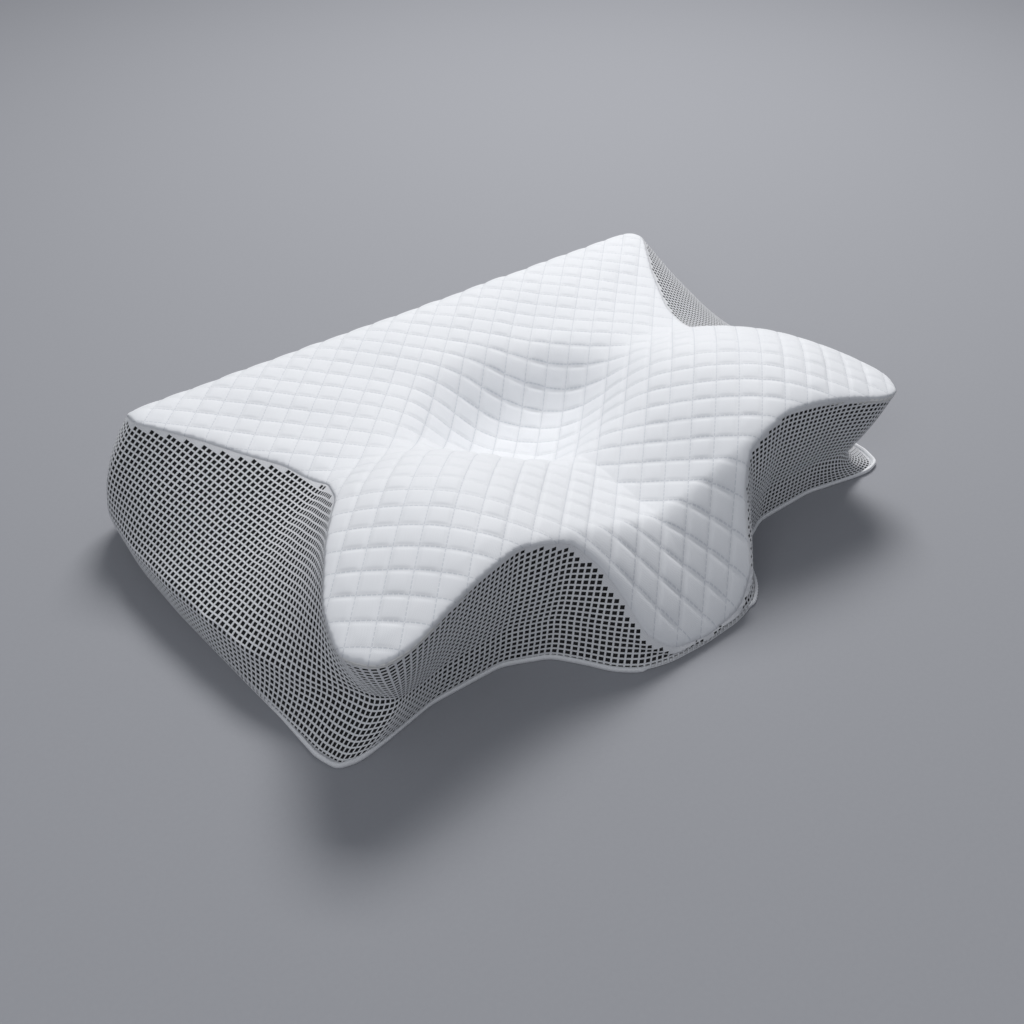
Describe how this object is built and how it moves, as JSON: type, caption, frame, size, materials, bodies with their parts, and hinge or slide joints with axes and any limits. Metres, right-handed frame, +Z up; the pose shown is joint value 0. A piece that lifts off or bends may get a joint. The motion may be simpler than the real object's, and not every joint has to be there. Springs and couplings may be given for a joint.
{
  "type": "contour neck pillow",
  "caption": "Butterfly-shaped foam neck-support pillow with a sunken head cradle, raised neck rolls, side arm scoops and a quilted zip-off cover.",
  "frame": {"origin": "middle of the pillow's bounding box, on the surface it lies on", "axes": "+X along the pillow's width, +Y from the front tongue towards the straight back edge, +Z up"},
  "size_m": [0.624, 0.4236, 0.1348],
  "materials": {
    "quilt_knit": "matt white polyester knit",
    "wadding": "soft white fibre filling",
    "lining": "thin white woven cloth",
    "net_white": "white knitted net",
    "spacer_dark": "black spacer cloth",
    "binding": "white woven tape",
    "base_cloth": "plain white cloth",
    "foam": "pale cream viscoelastic foam",
    "label": "white satin ribbon",
    "zip_tape": "white woven tape",
    "zip_coil": "white nylon coil",
    "zip_stop": "white moulded nylon",
    "thread": "white sewing thread",
    "zip_metal": "white enamelled zinc"
  },
  "bodies": {
    "pillow": {"quilt_face": "quilt_knit", "quilt_wadding": "wadding", "quilt_backing": "lining", "side_net": "net_white", "side_spacer": "spacer_dark", "edge_binding": "binding", "bottom_panel": "base_cloth", "liner_top": "lining", "liner_base": "lining", "foam_core": "foam", "care_label": "label", "zip_tape_upper": "zip_tape", "zip_tape_lower": "zip_tape", "zip_coil_upper": "zip_coil", "zip_coil_lower": "zip_coil", "zip_end_stop": "zip_stop", "zip_top_stops": "zip_stop", "zip_end_patches": "thread"},
    "slider": {"zip_slider": "zip_metal"},
    "pull": {"zip_pull": "zip_metal"}
  },
  "joints": [
    {"name": "zip_slide", "type": "slide", "parent": "pillow", "child": "slider", "axis": [-1, 0, 0], "range_m": [0, 0.444]},
    {"name": "pull_hinge", "type": "hinge", "parent": "slider", "child": "pull", "pos_m": [0.222, 0.2108, 0.022], "axis": [0, 0, -1], "range_deg": [0, 170]}
  ]
}
